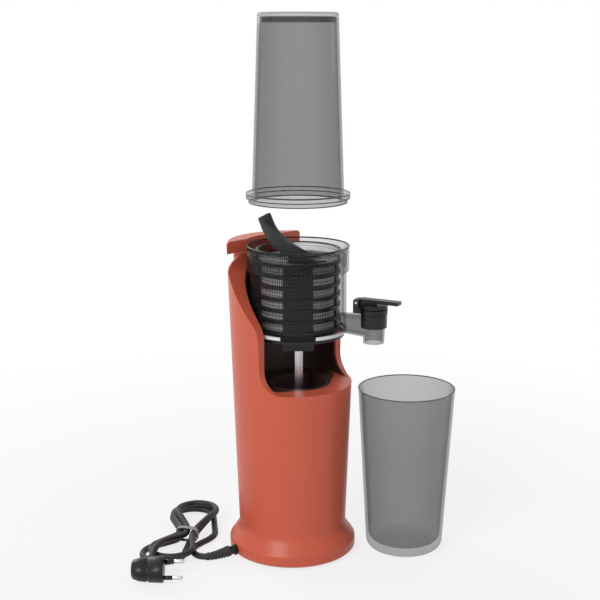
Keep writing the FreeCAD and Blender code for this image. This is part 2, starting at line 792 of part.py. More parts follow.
def spout_cap():
    rim = "(%s) + nozzle_high" % LIFT
    pin_x = "nozzle_reach - nozzle_radius - collar_wall - 2.7"
    pin_z = rim + " + pin_rise"
    band = cylinder("collar_out", "nozzle_radius + collar_wall", "collar_height", "nozzle_reach",
                    "0", rim + " - collar_height")
    ears = []
    for side in (-1, 1):
        middle = "%d * (lever_width / 2 + gap + 1.25)" % side
        ears.append(box("ear_%d" % side, "6", "2.5", "collar_height + pin_rise + 2.5", pin_x, middle,
                        rim + " - collar_height"))
        ears.append(box("ear_root_%d" % side, "10", "2.5", "collar_height", pin_x + " + 3", middle,
                        rim + " - collar_height"))
    inside = cone("collar_in", "nozzle_foot", "nozzle_radius", "nozzle_high - nozzle_low",
                  "nozzle_reach", "0", "(%s) + nozzle_low" % LIFT)
    pin = cylinder("hinge_pin_rod", "pin_radius", "lever_width + 2 * gap + 5", pin_x,
                   "(lever_width + 2 * gap + 5) / 2", pin_z)
    pin.Placement.Rotation = FreeCAD.Rotation(FreeCAD.Vector(1, 0, 0), 90)
    tube = doc.getObject("spout_out")
    keep(swing(carve("collar", fuse("collar_ears", band, *ears), inside, tube, pin), "collar_swung"),
         "spout_collar")
    keep(swing(pin, "pin_swung"), "spout_hinge_pin")
    disc = cylinder("cap_disc", "nozzle_radius + collar_wall", "cap_thick", "nozzle_reach", "0",
                    rim + " + 1 + gap")
    knuckle = box("cap_knuckle", "6", "lever_width", "6", pin_x, "0", pin_z + " - 3")
    neck = box("cap_neck", "16", "lever_width", "5", pin_x + " + 9", "0", rim + " + 1 + gap")
    lever = box("cap_lever", "lever_length + 8", "lever_width", "3.4",
                pin_x + " + (lever_length + 8) / 2 + 2", "0", pin_z + " + 0.4")
    hole = cylinder("cap_hole", "pin_radius + running_fit", "2 * lever_width", pin_x,
                    "lever_width", pin_z)
    hole.Placement.Rotation = FreeCAD.Rotation(FreeCAD.Vector(1, 0, 0), 90)
    keep(swing(cut("cap", fuse("cap_body", disc, knuckle, neck, lever), hole), "cap_swung"),
         "spout_cap")
    pad = cylinder("cap_pad", "nozzle_radius - 0.5", "1", "nozzle_reach", "0", rim + " + gap")
    keep(swing(pad, "pad_swung"), "cap_seal")


# Feed hopper, its cap and the tumbler

def hopper():
    low = "(%s) + lid_top + gap + hopper_raise" % LIFT
    tall = "hopper_height"
    shape = turned("hopper_turned", [
        ("hopper_low - hopper_wall", "-4"),
        ("lid_radius - lid_wall - gap", "-4"),
        ("lid_radius - lid_wall - gap", "0"),
        ("flange_radius", "0"),
        ("flange_radius", "flange_height"),
        ("hopper_low", "flange_height"),
        ("hopper_high", tall),
        ("hopper_high - hopper_wall", tall),
        ("hopper_low - hopper_wall", "0"),
    ])
    notches = [turn_about_axle(box("notch_%d" % i, "3", "2 * lid_radius + 8", "3", *AXLE,
                                   low + " - 4"), 27 + 90 * i) for i in range(2)]
    ring_cut = ring("notch_ring", "lid_radius + 4", "lid_radius - lid_wall - gap - 1.2", "3", *AXLE,
                    low + " - 4")
    bites = common("notches", fuse("notch_bars", *notches), ring_cut)
    place(shape, *AXLE, low)
    keep(cut("hopper_shell", shape, bites), "feed_hopper")
    cap = turned("hopper_cap_turned", [
        ("0", "0"),
        ("hopper_high", "0"),
        ("hopper_high", "cap_height", "2.5"),
        ("0", "cap_height"),
    ])
    place(cap, *AXLE, low + " + hopper_height + gap")
    skirt = ring("cap_skirt", "hopper_high - hopper_wall - gap - 0.2",
                 "hopper_high - hopper_wall - gap - 2", "5 + gap", *AXLE,
                 low + " + hopper_height - 5")
    keep(fuse("hopper_cap_body", cap, skirt), "hopper_cap")


def tumbler():
    cup = turned("tumbler_turned", [
        ("0", "0"),
        ("tumbler_foot", "0", "tumbler_round"),
        ("tumbler_top", "tumbler_height"),
        ("tumbler_top - tumbler_wall", "tumbler_height"),
        ("tumbler_foot - tumbler_wall", "tumbler_floor", "tumbler_round - 3"),
        ("0", "tumbler_floor"),
    ])
    keep(place(cup, "tumbler_x", "tumbler_y"), "tumbler")


# Mains side: rocker switch and board at the back, cord gland, cord and plug

def crossbar(name, radius, length, back):
    """A rod along X on the rocker's own axis."""
    item = cylinder(name, radius, length)
    item.Placement.Rotation = FreeCAD.Rotation(FreeCAD.Vector(0, 1, 0), 90)
    return place(item, "-(%s) / 2" % length, "(%s) - 1" % back, "switch_level")


def electrics():
    back = "waist_radius + (shoulder_radius - waist_radius) * (switch_level - waist_level + 7) / " \
           "(shoulder_level - waist_level + 7)"
    frame = box("switch_box", "switch_width - gap", "switch_depth", "switch_height - gap", "0",
                "(%s) + 1 - switch_depth / 2" % back, "switch_level - (switch_height - gap) / 2")
    bezel = box("switch_bezel", "switch_width + 4", "2", "switch_height + 4", "0",
                "(%s) + 1.7" % back, "switch_level - switch_height / 2 - 2")
    well = box("switch_well", "switch_width - 4", "8", "switch_height - 4", "0",
               "(%s) + 1" % back, "switch_level - switch_height / 2 + 2")
    seat = crossbar("switch_seat", "1.2 + running_fit", "switch_width - 1", back)
    keep(carve("switch_frame_cut", fuse("switch_frame_body", frame, bezel), well, seat),
         "switch_frame")
    rocker = cylinder("rocker_round", "switch_height / 2 - 2.4", "switch_width - 4 - 2 * gap")
    rocker.Placement.Rotation = FreeCAD.Rotation(FreeCAD.Vector(0, 1, 0), 90)
    place(rocker, "-(switch_width - 4 - 2 * gap) / 2", "(%s) - 1" % back, "switch_level")
    slab = box("rocker_slab", "switch_width", "3.6", "switch_height", "0", "(%s) + 1.4" % back,
               "switch_level - switch_height / 2")
    trunnion = crossbar("rocker_trunnion", "1.2", "switch_width - 1.6", back)
    keep(fuse("rocker", common("rocker_key", rocker, slab), trunnion), "switch_rocker")
    board_y = "stator_radius + 2 - bowl_setback + 4"
    keep(box("board", "board_width", "board_thick", "board_height", "0", board_y, FLOOR),
         "control_board")


def gland():
    level = "base_rim / 2 + 1"
    neck = outward("gland_neck", "cord_radius + 1.6", "base_radius - wall", "base_radius + 0.5",
                   "gland_angle", level)
    boot = outward("gland_boot", "cord_radius + 2.4", "base_radius + 0.5", "base_radius + 2",
                   "gland_angle", level)
    sleeve = outward("gland_sleeve", "cord_radius + 1.2", "base_radius + 2", "base_radius + 8",
                     "gland_angle", level)
    bore = outward("gland_bore", "cord_radius", "base_radius - 9", "base_radius + 8",
                   "gland_angle", level)
    keep(cut("gland_cut", fuse("gland_body", neck, boot, sleeve), bore), "cord_gland")


# The cord's free stretch, from the gland's mouth to the hank, chosen by hand
CORD_ROUTE = [
    (-68.1, 23.4, 7.5), (-81.5, 28.0, 5.4), (-91.5, 38.5, 3.6), (-91.0, 52.5, 3.4),
    (-81.0, 62.5, 3.4), (-67.5, 65.0, 3.4), (-54.5, 66.0, 3.4), (-43.0, 70.5, 3.4),
    (-35.5, 79.0, 3.4),
]
PLUG_LEAD = [(-141.0, 58.0, 12.5), (-135.0, 61.2, 12.5), (-129.0, 65.0, 10.4)]
# The hank's two lobes, each from (x, y) to (x, y) with a half-width, and its height
HANK_LOBES = [((-22.0, 125.0), (-50.0, 95.0), 22.0), ((-88.0, 75.0), (-107.5, 66.0), 22.0)]
HANK_WAIST = ((-50.0, 95.0), (-88.0, 75.0), 9.0)
HANK_HEIGHT = 13.4
HANK_TIE = (-69.0, 85.0)


def cord_tube(name, route, radius):
    """A tube along straight runs joined by tangent arcs. Prints each bend's radius."""
    spots = [FreeCAD.Vector(*spot) for spot in route]
    edges, here, radii = [], spots[0], []
    for before, corner, after in zip(spots, spots[1:], spots[2:]):
        back, ahead = before - corner, after - corner
        reach = 0.45 * min(back.Length, ahead.Length)
        back.normalize()
        ahead.normalize()
        half = back.getAngle(ahead) / 2
        bend = reach * math.tan(half)
        centre = corner + (back + ahead).normalize() * (reach / math.cos(half))
        middle = centre + (corner - centre).normalize() * bend
        first, last = corner + back * reach, corner + ahead * reach
        edges.append(Part.LineSegment(here, first).toShape())
        edges.append(Part.Arc(first, middle, last).toShape())
        here = last
        radii.append(round(bend, 1))
    edges.append(Part.LineSegment(here, spots[-1]).toShape())
    path = Part.Wire(edges)
    start = Part.Circle(spots[0], spots[1] - spots[0], radius)
    tube = path.makePipeShell([Part.Wire(start.toShape())], True, False)
    print(name, "radii", radii, "length", round(path.Length, 1), "volume ratio",
          round(tube.Volume / (math.pi * radius ** 2 * path.Length), 4))
    item = doc.addObject("Part::Feature", name)
    item.Shape = tube
    return item


def stadium(first, last, half_width, height):
    """A flat slab with round ends, lying on the table."""
    start, end = FreeCAD.Vector(*first, 0), FreeCAD.Vector(*last, 0)
    along = (end - start).normalize()
    side = FreeCAD.Vector(-along.y, along.x, 0) * half_width
    edges = [
        Part.LineSegment(start + side, end + side).toShape(),
        Part.Arc(end + side, end + along * half_width, end - side).toShape(),
        Part.LineSegment(end - side, start - side).toShape(),
        Part.Arc(start - side, start - along * half_width, start + side).toShape(),
    ]
    return Part.Face(Part.Wire(edges)).extrude(FreeCAD.Vector(0, 0, height))


def cord():
    radius = size("cord_radius")
    keep(cord_tube("free_cord", CORD_ROUTE, radius), "power_cord")
    keep(cord_tube("lead", PLUG_LEAD, radius), "plug_lead")
    lobes = [stadium(*lobe, HANK_HEIGHT) for lobe in HANK_LOBES]
    item = doc.addObject("Part::Feature", "hank")
    waist = stadium(*HANK_WAIST, HANK_HEIGHT)
    x, y = HANK_TIE
    tie_ring = tie_band(x, y)
    item.Shape = waist.fuse(lobes).cut(tie_ring)
    keep(item, "cord_hank")
    tie = doc.addObject("Part::Feature", "tie")
    tie.Shape = tie_ring
    keep(tie, "cord_tie")


def tie_band(x, y):
    """A flat clip round the hank's waist."""
    (x1, y1), (x2, y2), half = HANK_WAIST
    angle = math.degrees(math.atan2(y2 - y1, x2 - x1))
    outer = Part.makeBox(8, 2 * half, HANK_HEIGHT, FreeCAD.Vector(-4, -half, 0))
    inner = Part.makeBox(10, 2 * half - 2.4, HANK_HEIGHT - 2.4, FreeCAD.Vector(-5, 1.2 - half, 1.2))
    band = outer.cut(inner)
    band.rotate(FreeCAD.Vector(), FreeCAD.Vector(0, 0, 1), angle)
    band.translate(FreeCAD.Vector(x, y, 0))
    return band


# The plug lies on its side: its middle, the way its pins point, and the way its lead leaves
PLUG_MIDDLE = (-158.0, 40.0, 12.5)
PLUG_HEADING = -47.0


def plug():
    middle = FreeCAD.Vector(*PLUG_MIDDLE)
    heading = math.radians(PLUG_HEADING)
    ahead = FreeCAD.Vector(math.cos(heading), math.sin(heading), 0)
    across = FreeCAD.Vector(-ahead.y, ahead.x, 0)
    face = Part.makeCylinder(size("plug_face"), size("plug_front"), middle, ahead)
    back = Part.makeCone(size("plug_face"), size("plug_tail"), size("plug_taper"), middle, -ahead)
    root = middle - ahead * size("plug_taper") / 2
    lead = FreeCAD.Vector(*PLUG_LEAD[0]) - root
    relief = Part.makeCone(2 * size("cord_radius"), size("cord_radius") + 1, lead.Length, root, lead)
    body = doc.addObject("Part::Feature", "plug")
    body.Shape = face.fuse([back, relief]).removeSplitter()
    keep(body, "plug_body")
    tilt = math.radians(size("prong_tilt"))
    half = (across * math.cos(tilt) + FreeCAD.Vector(0, 0, math.sin(tilt))) * size("prong_spread / 2")
    foot = middle + ahead * size("plug_front")
    pins = [Part.makeCylinder(size("prong_radius"), size("prong_length"), foot + half * side, ahead)
            for side in (-1, 1)]
    item = doc.addObject("Part::Feature", "pins")
    item.Shape = Part.makeCompound(pins)
    keep(item, "plug_pins")


def build():
    for section in (housing, liner, base_parts, motor, gearbox, gears, bowl, lid, strainer, auger,
                    spout, spout_cap, hopper, tumbler, electrics, gland, cord, plug):
        section()
    doc.recompute()
    for item in doc.Objects:
        if "Invalid" in item.State or "Error" in item.State:
            raise RuntimeError("failed: %s %s" % (item.Name, item.State))
    for item in PARTS:
        if item.Shape.isNull() or not item.Shape.isValid():
            raise RuntimeError("bad shape: " + item.Label)
    os.makedirs("parts", exist_ok=True)
    for item in PARTS:
        item.Shape.exportStep("parts/%s.step" % item.Label)
    print(len(PARTS), "sub-parts written")


build()
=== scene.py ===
# Cold press juicer, shown taken apart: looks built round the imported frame. Metres, +Z up.
import math

import bmesh
import bpy
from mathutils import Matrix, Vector


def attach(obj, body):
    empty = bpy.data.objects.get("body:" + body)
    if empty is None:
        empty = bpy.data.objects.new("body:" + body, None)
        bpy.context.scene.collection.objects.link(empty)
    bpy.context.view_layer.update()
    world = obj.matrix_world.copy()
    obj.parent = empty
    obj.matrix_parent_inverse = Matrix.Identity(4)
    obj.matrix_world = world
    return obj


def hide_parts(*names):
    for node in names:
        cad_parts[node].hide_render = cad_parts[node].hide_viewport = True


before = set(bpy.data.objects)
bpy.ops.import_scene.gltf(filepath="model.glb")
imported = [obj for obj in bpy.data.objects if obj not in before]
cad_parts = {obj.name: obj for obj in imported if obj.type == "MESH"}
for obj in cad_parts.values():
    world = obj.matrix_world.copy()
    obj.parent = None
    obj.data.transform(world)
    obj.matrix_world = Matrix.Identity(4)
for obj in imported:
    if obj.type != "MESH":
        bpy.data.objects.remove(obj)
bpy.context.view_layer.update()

MM = 0.001
SAME_SPOT = 1e-7   # points of a skin nearer than this are one
BOWL_AXIS = Vector((0.0, -8.0, 0.0))       # upright through the bowl, auger and hopper, mm
TUMBLER_AXIS = Vector((78.0, -84.0, 0.0))  # upright through the tumbler, mm


# Camera, at the photograph's angle

CAMERA_SPOT = (-0.8551, -0.8083, 0.519)
CAMERA_AHEAD = Vector((0.731, 0.682, 0.0))
CAMERA_DIP = math.radians(12.5)
SENSOR_WIDTH, LENS = 36.0, 73.2   # millimetres


def set_camera():
    data = bpy.data.cameras.new("view")
    camera = bpy.data.objects.new("view", data)
    bpy.context.scene.collection.objects.link(camera)
    camera.location = CAMERA_SPOT
    aim = CAMERA_AHEAD.normalized() * math.cos(CAMERA_DIP) - Vector((0, 0, math.sin(CAMERA_DIP)))
    camera.rotation_euler = aim.to_track_quat("-Z", "Y").to_euler()
    data.sensor_width = SENSOR_WIDTH
    data.lens = LENS
    bpy.context.scene.camera = camera


# Shader maths as plain expressions

class Wire:
    """One output socket; sums and products of wires add their Math nodes."""

    def __init__(self, board, socket):
        self.board, self.socket = board, socket

    def maths(self, operation, *others):
        return self.board.node("ShaderNodeMath", {"operation": operation}, [self, *others])

    def __add__(self, other):
        return self.maths("ADD", other)

    def __mul__(self, other):
        return self.maths("MULTIPLY", other)

    def __gt__(self, other):
        return self.maths("GREATER_THAN", other)

    __radd__, __rmul__ = __add__, __mul__


class Board:
    """A node tree that nodes are added to."""

    def __init__(self, tree):
        self.tree = tree

    def node(self, kind, settings=None, inputs=None, out=0):
        """Adds a node and gives one of its outputs, or a list of them where out is a list."""
        made = self.tree.nodes.new(kind)
        for key, value in (settings or {}).items():
            if key == "stops":
                self.set_stops(made.color_ramp.elements, value)
            else:
                setattr(made, key, value)
        pairs = inputs.items() if isinstance(inputs, dict) else enumerate(inputs or [])
        for key, value in pairs:
            self.feed(made.inputs[key], value)
        if isinstance(out, list):
            return [Wire(self, made.outputs[each]) for each in out]
        return Wire(self, made.outputs[out])

    def set_stops(self, elements, stops):
        while len(elements) < len(stops):
            elements.new(0.5)   # its real place comes next
        for element, (spot, level) in zip(elements, stops):
            element.position = spot
            element.color = (level, level, level, 1.0)

    def feed(self, socket, value):
        if isinstance(value, Wire):
            self.tree.links.new(value.socket, socket)
        elif isinstance(value, tuple) and len(value) == 3 and socket.type == "RGBA":
            socket.default_value = (*value, 1.0)
        else:
            socket.default_value = value

    def where(self):
        """The place on the object, in metres."""
        return self.node("ShaderNodeTexCoord", out=3)

    def noise(self, scale, detail, rough=0.55, stretch=None):
        spot = self.where()
        if stretch:
            spot = self.node("ShaderNodeVectorMath", {"operation": "MULTIPLY"}, [spot, stretch])
        return self.node("ShaderNodeTexNoise", {}, {"Vector": spot, "Scale": scale, "Detail": detail,
                                                    "Roughness": rough})

    def blend(self, factor, first, second):
        return self.node("ShaderNodeMix", {"data_type": "RGBA"},
                         {"Factor": factor, 6: first, 7: second}, out=2)

    def ramp(self, factor, stops):
        return self.node("ShaderNodeValToRGB", {"stops": stops}, {"Fac": factor})


class Finish(Board):
    """A material round one Principled shader."""

    def __init__(self, name, **plain):
        self.material = bpy.data.materials.new(name)
        self.material.use_nodes = True
        super().__init__(self.material.node_tree)
        self.shader = self.tree.nodes["Principled BSDF"]
        for key, value in plain.items():
            self.give(key.replace("_", " ").title().replace("Ior", "IOR"), value)

    def give(self, name, value):
        self.feed(self.shader.inputs[name], value)

    def wear(self, base, other, amount, rough, swing, bump, depth, strength):
        """Colour drifts from base to other, roughness swings, and a bump feeds the normal."""
        self.give("Base Color", self.blend(amount, base, other))
        self.give("Roughness", amount * swing + rough)
        self.give("Normal", self.node("ShaderNodeBump", {}, {"Height": bump, "Distance": depth,
                                                             "Strength": strength}))
        return self

    def on(self, *pieces):
        """Gives the finish to CAD nodes by name and to new pieces."""
        for piece in pieces:
            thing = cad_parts[piece] if isinstance(piece, str) else piece
            if thing.material_slots:
                for slot in thing.material_slots:
                    slot.material = self.material
            else:
                thing.data.materials.append(self.material)


# Finishes

SMOKE = (0.028, 0.029, 0.03)
SMOKE_ROUGH, SMOKE_ROUGH_SWING = 0.06, 0.06
SLIT_WAVES = 110.0   # waves of slits in a radian round the strainer
LEVEL_WAVES = 1900.0   # radians of level lines in a metre of height
LEVEL_LINE = -0.8   # below this a level wave is dark


def coral():
    f = Finish("coral_moulded", coat_weight=0.12, coat_roughness=0.2, specular_ior_level=0.35)
    drift, grain = f.noise(9.0, 2.0), f.noise(900.0, 2.0)
    return f.wear((0.62, 0.108, 0.056), (0.67, 0.125, 0.066), drift, rough=0.36, swing=0.1,
                  bump=grain, depth=0.0002, strength=0.15)


def smoked(name, thin, edge):
    """See-through dark plastic: a little of the shade at each wall, more at a glancing one."""
    f = Finish(name, base_color=SMOKE, specular_ior_level=0.2)
    facing = f.node("ShaderNodeLayerWeight", {}, {"Blend": 0.5}, out=1)
    f.give("Alpha", f.ramp(facing, [(0.0, thin), (0.55, thin + 0.06),
                                    (0.86, edge - 0.12), (1.0, edge + 0.3)]))
    f.give("Roughness", f.noise(14.0, 2.0) * SMOKE_ROUGH_SWING + SMOKE_ROUGH)
    return f


def moulded(name, base, other, rough, **plain):
    """A plain plastic or rubber with a fine moulded grain."""
    f = Finish(name, **plain)
    return f.wear(base, other, f.noise(18.0, 3.0), rough, swing=0.12,
                  bump=f.noise(700.0, 2.0), depth=0.0002, strength=0.3)


def metal(name, base, other, rough, stretch=(1.0, 1.0, 30.0), scale=60.0):
    """Bare metal with fine streaks, finer along the axes that are stretched more."""
    f = Finish(name, metallic=1.0)
    streak = f.noise(scale, 4.0, 0.6, stretch)
    return f.wear(base, other, streak, rough, swing=0.18, bump=streak, depth=0.0001, strength=0.2)


def screen():
    """The strainer's fine mesh: upright slits and thin level lines, dark on bright metal."""
    f = Finish("slit_screen", roughness=0.35)
    x, y, z = f.node("ShaderNodeSeparateXYZ", {}, [f.where()], out=[0, 1, 2])
    angle = (y + -BOWL_AXIS.y * MM).maths("ARCTAN2", x)
    slits = (angle * SLIT_WAVES).maths("SINE")
    levels = (z * LEVEL_WAVES).maths("SINE")
    mask = (slits > 0.0) * (levels > LEVEL_LINE)
    f.give("Base Color", f.blend(mask, (0.06, 0.06, 0.062), (0.86, 0.86, 0.87)))
    return f


# Meshes

def new_mesh(name, bm, smooth=True):
    data = bpy.data.meshes.new(name)
    bm.normal_update()
    bm.to_mesh(data)
    bm.free()
    for face in data.polygons:
        face.use_smooth = smooth
    piece = bpy.data.objects.new(name, data)
    bpy.context.scene.collection.objects.link(piece)
    return piece


def skinned(name, rings, closed=False, faced_out=True, smooth=True):
    """Skins rings of the same number of points, in metres; a closed row of rings has no ends."""
    bm = bmesh.new()
    loops = [[bm.verts.new(spot) for spot in ring] for ring in rings + rings[:1] * closed]
    for one, other in zip(loops, loops[1:]):
        for i in range(len(one)):
            j = (i + 1) % len(one)
            bm.faces.new((one[i], one[j], other[j], other[i]))
    if closed:
        bmesh.ops.remove_doubles(bm, verts=bm.verts, dist=SAME_SPOT)
    else:
        bm.faces.new(list(reversed(loops[0])))
        bm.faces.new(loops[-1])
    if faced_out:
        bmesh.ops.recalc_face_normals(bm, faces=bm.faces)
    return new_mesh(name, bm, smooth)


def rounded(corners, half_wide, half_high, power):
    """Points round a soft-cornered oblong; power 2 is an oval, more is squarer."""
    for i in range(corners):
        angle = math.tau * i / corners
        c, s = math.cos(angle), math.sin(angle)
        yield (math.copysign(abs(c) ** (2 / power), c) * half_wide,
               math.copysign(abs(s) ** (2 / power), s) * half_high)


def stations(origin, along, across, rows, corners):
    """Rings along one direction from (distance, half wide, half high, power) rows, mm."""
    up = along.cross(across).normalized()
    return [[origin + along * distance * MM + (across * a + up * b) * MM
             for a, b in rounded(corners, wide, high, power)]
            for distance, wide, high, power in rows]


def turned(name, profile, start=0.0, sweep=360.0, count=96, middle=BOWL_AXIS):
    """A ring whose (radius, height) outline in mm is swept round an upright axis."""
    whole = sweep >= 360.0
    rings = [[(middle + Vector((r * math.cos(a), r * math.sin(a), z))) * MM for r, z in profile]
             for a in (math.radians(start + sweep * k / (count if whole else count - 1))
                       for k in range(count))]
    return skinned(name, rings, closed=whole, smooth=False)


def band(name, inner, outer, low, high, ease, **sweep):
    """A flat ring with eased corners."""
    return turned(name, [(inner, low + ease), (inner + ease, low), (outer - ease, low),
                         (outer, low + ease), (outer, high - ease), (outer - ease, high),
                         (inner + ease, high), (inner, high - ease)], **sweep)


# The mains cord: one spline, from the base's gland through the hank to the plug. Millimetres.

CORD_RADIUS = 3.2
CORD_ROUTE = [
    (-68.1, 23.4, 7.5), (-81.5, 28.0, 5.4), (-91.5, 38.5, 3.6), (-91.0, 52.5, 3.4),
    (-81.0, 62.5, 3.4), (-67.5, 65.0, 3.4), (-54.5, 66.0, 3.4), (-43.0, 70.5, 3.4),
    (-35.5, 79.0, 3.4),
]
TIE_SPOT = Vector((-69.0, 85.0))
WAIST = Vector((-0.466, 0.885))   # across the hank's waist
LOW, MIDDLE, TOP = 3.4, 9.9, 16.3   # three layers of cord
# Each loop's centre, radius and layer, and where each run passes the tie, across it
UPPER = [((-27.0, 122.5), 22.0, LOW), ((-32.0, 117.0), 21.0, MIDDLE), ((-33.0, 109.5), 20.5, TOP)]
LOWER = [((-111.0, 74.0), 21.0, LOW), ((-107.0, 66.0), 20.5, MIDDLE)]
GATES = [(2.2, LOW), (-4.4, LOW), (2.2, MIDDLE), (-4.8, MIDDLE), (-3.6, MIDDLE)]
LOOP_STEP = math.radians(36)   # the most that a loop turns between two of its points
PLUG_END = [(-94.0, 77.5, 13.5), (-112.0, 74.5, 17.2), (-127.5, 67.0, 17.6),
            (-136.0, 61.3, 13.6), (-141.0, 58.0, 12.5)]


def loop(centre, radius, height, come_from, go_to):
    """One open loop of the hank, turned left round its centre between two points."""
    middle = Vector(centre)

    def touch(point, side):
        away = Vector(point[:2]) - middle
        return math.atan2(away.y, away.x) + side * math.acos(radius / away.length)

    def spot(angle, distance, ahead=0.0):
        out = Vector((math.cos(angle), math.sin(angle)))
        place = middle + out * distance + Vector((-out.y, out.x)) * ahead
        return place.x, place.y, height

    first, last = touch(come_from, 1), touch(go_to, -1)
    last += math.tau if last < first else 0.0
    steps = math.ceil((last - first) / LOOP_STEP)
    step = (last - first) / steps
    lead = radius * math.tan(step / 2)
    corners = [spot(first + (i + 0.5) * step, radius / math.cos(step / 2)) for i in range(steps)]
    return [spot(first, radius, -lead), *corners, spot(last, radius, lead)]


def cord_points():
    gates = [(*(TIE_SPOT + WAIST * across), height) for across, height in GATES]
    stops = [CORD_ROUTE[-1], *gates]
    turns = [turn for pair in zip(UPPER, LOWER) for turn in pair] + UPPER[-1:]
    points = list(CORD_ROUTE)
    for turn, before, after in zip(turns, stops, gates):
        points += [*loop(*turn, before, after), after]
    return points + PLUG_END


def line(name, points, thickness=0.0):
    data = bpy.data.curves.new(name, "CURVE")
    data.dimensions = "3D"
    spline = data.splines.new("NURBS")
    spline.points.add(len(points) - 1)
    for knot, spot in zip(spline.points, points):
        knot.co = (*(c * MM for c in spot), 1.0)
    spline.order_u = 3
    spline.use_endpoint_u = True
    spline.resolution_u = 8
    data.bevel_depth = thickness * MM
    data.bevel_resolution = 5
    data.use_fill_caps = thickness > 0
    piece = bpy.data.objects.new(name, data)
    bpy.context.scene.collection.objects.link(piece)
    return piece


def centreline(points):
    """The spline's own points, in metres."""
    guide = line("guide", points)
    mesh = bpy.data.meshes.new_from_object(guide)
    spots = [v.co.copy() for v in mesh.vertices]
    bpy.data.objects.remove(guide)
    bpy.data.meshes.remove(mesh)
    return spots


def add_cord():
    points = cord_points()
    spots = centreline(points)
    length = sum((b - a).length for a, b in zip(spots, spots[1:]))
    return line("mains_cord", points, CORD_RADIUS), spots, length


# The strain relief at the base: a tapered sleeve with grooves, along the cord's first stretch

RELIEF_REACH = 0.024   # metres
RELIEF_RINGS, RELIEF_CORNERS = 49, 28
RELIEF_ROOT, RELIEF_TAPER, RELIEF_GROOVE = 5.6, 1.9, 0.55   # radius, its loss, and a groove's depth
GROOVE_PITCH, GROOVE_RINGS, PLAIN_RINGS = 6, (3, 4), 4   # in rings; the ends are plain


def add_relief(spots):
    rows, walked = [], 0.0
    for a, b in zip(spots, spots[1:]):
        rows.append((walked, a, (b - a).normalized()))
        walked += (b - a).length
        if walked > RELIEF_REACH:
            break
    rings, last = [], RELIEF_RINGS - 1
    for i in range(RELIEF_RINGS):
        at = RELIEF_REACH * i / last
        start, spot, ahead = max((row for row in rows if row[0] <= at), key=lambda row: row[0])
        middle = spot + ahead * (at - start)
        side = ahead.cross(Vector((0, 0, 1))).normalized()
        up = side.cross(ahead)
        grooved = i % GROOVE_PITCH in GROOVE_RINGS and PLAIN_RINGS <= i <= last - PLAIN_RINGS
        radius = (RELIEF_ROOT - RELIEF_TAPER * i / last - (RELIEF_GROOVE if grooved else 0.0)) * MM
        rings.append([middle + (side * math.cos(t) + up * math.sin(t)) * radius
                      for t in (math.tau * k / RELIEF_CORNERS for k in range(RELIEF_CORNERS))])
    return skinned("strain_relief", rings, faced_out=False)


# The plug, lying on its side, with its two pins and the grip's ridges. Rows as in stations().

PLUG_MIDDLE = Vector((-158.0, 40.0, 12.5)) * MM
PLUG_AHEAD = Vector((math.cos(math.radians(-47)), math.sin(math.radians(-47)), 0.0))
PLUG_TILT = math.radians(30)   # the pins' plane against the table
PLUG_ROWS = [
    (-17.0, 7.0, 7.0, 2.2), (-15.6, 9.0, 8.6, 2.3), (-10.0, 11.2, 9.4, 2.4),
    (-3.0, 11.9, 9.8, 2.5), (-2.2, 11.3, 9.2, 2.5), (-0.8, 11.3, 9.2, 2.5),
    (0.0, 12.2, 10.2, 2.5), (9.0, 12.3, 11.0, 2.5), (12.6, 12.3, 11.4, 2.5),
    (13.7, 11.7, 10.8, 2.5), (14.0, 10.6, 9.8, 2.5)]
BOOT_ROOT, BOOT_TAPER, BOOT_GROOVE = 6.6, 2.4, 0.5   # as the strain relief's
BOOT_RINGS, BOOT_PITCH = 17, 3   # every third ring is a groove
BOOT_BACK = 8   # how far the boot starts inside the plug, behind its middle
PIN_AHEAD, PIN_SPREAD = 13.5, 9.5   # where the pins start, and each one's way from the middle
PIN_ROWS = {"pin_sleeve": [(0, 2.05, 2.05, 2), (9.5, 2.05, 2.05, 2)],
            "pin_metal": [(0.2, 1.95, 1.95, 2), (17.6, 1.95, 1.95, 2),
                          (18.8, 1.6, 1.6, 2), (19.4, 0.8, 0.8, 2)]}


def boot_rows(length):
    last = BOOT_RINGS - 1
    for k in range(BOOT_RINGS):
        radius = BOOT_ROOT - BOOT_TAPER * k / last - (BOOT_GROOVE if k % BOOT_PITCH == 2 else 0.0)
        yield length * k / last, radius, radius, 2.0


def add_plug():
    across = PLUG_AHEAD.cross(Vector((0, 0, 1))).normalized()
    lean = across * -math.cos(PLUG_TILT) + Vector((0, 0, math.sin(PLUG_TILT)))
    body = skinned("mains_plug", stations(PLUG_MIDDLE, PLUG_AHEAD, lean, PLUG_ROWS, corners=40),
                   faced_out=False)
    root, end = PLUG_MIDDLE - PLUG_AHEAD * BOOT_BACK * MM, Vector(PLUG_END[-1]) * MM
    run = end - root
    boot = skinned("plug_boot", stations(root, run.normalized(), Vector((0, 0, 1)),
                                         boot_rows(run.length / MM), corners=28), faced_out=False)
    pins = []
    for number, side in ((1, -1), (2, 1)):
        foot = PLUG_MIDDLE + PLUG_AHEAD * PIN_AHEAD * MM + lean * side * PIN_SPREAD * MM
        pins += [skinned("%s_%d" % (name, number),
                         stations(foot, PLUG_AHEAD, lean, rows, corners=20), faced_out=False)
                 for name, rows in PIN_ROWS.items()]
    return body, boot, pins


# A thin clip round the hank's waist

TIE_ALONG = Vector((0.885, 0.466, 0.0))
TIE_HEIGHT, TIE_HALF_LONG, TIE_THICK = 7.9, 2.6, 0.9
TIE_HALF_WIDE, TIE_HALF_HIGH, TIE_POWER, TIE_CORNERS = 10.8, 6.8, 3.6, 40


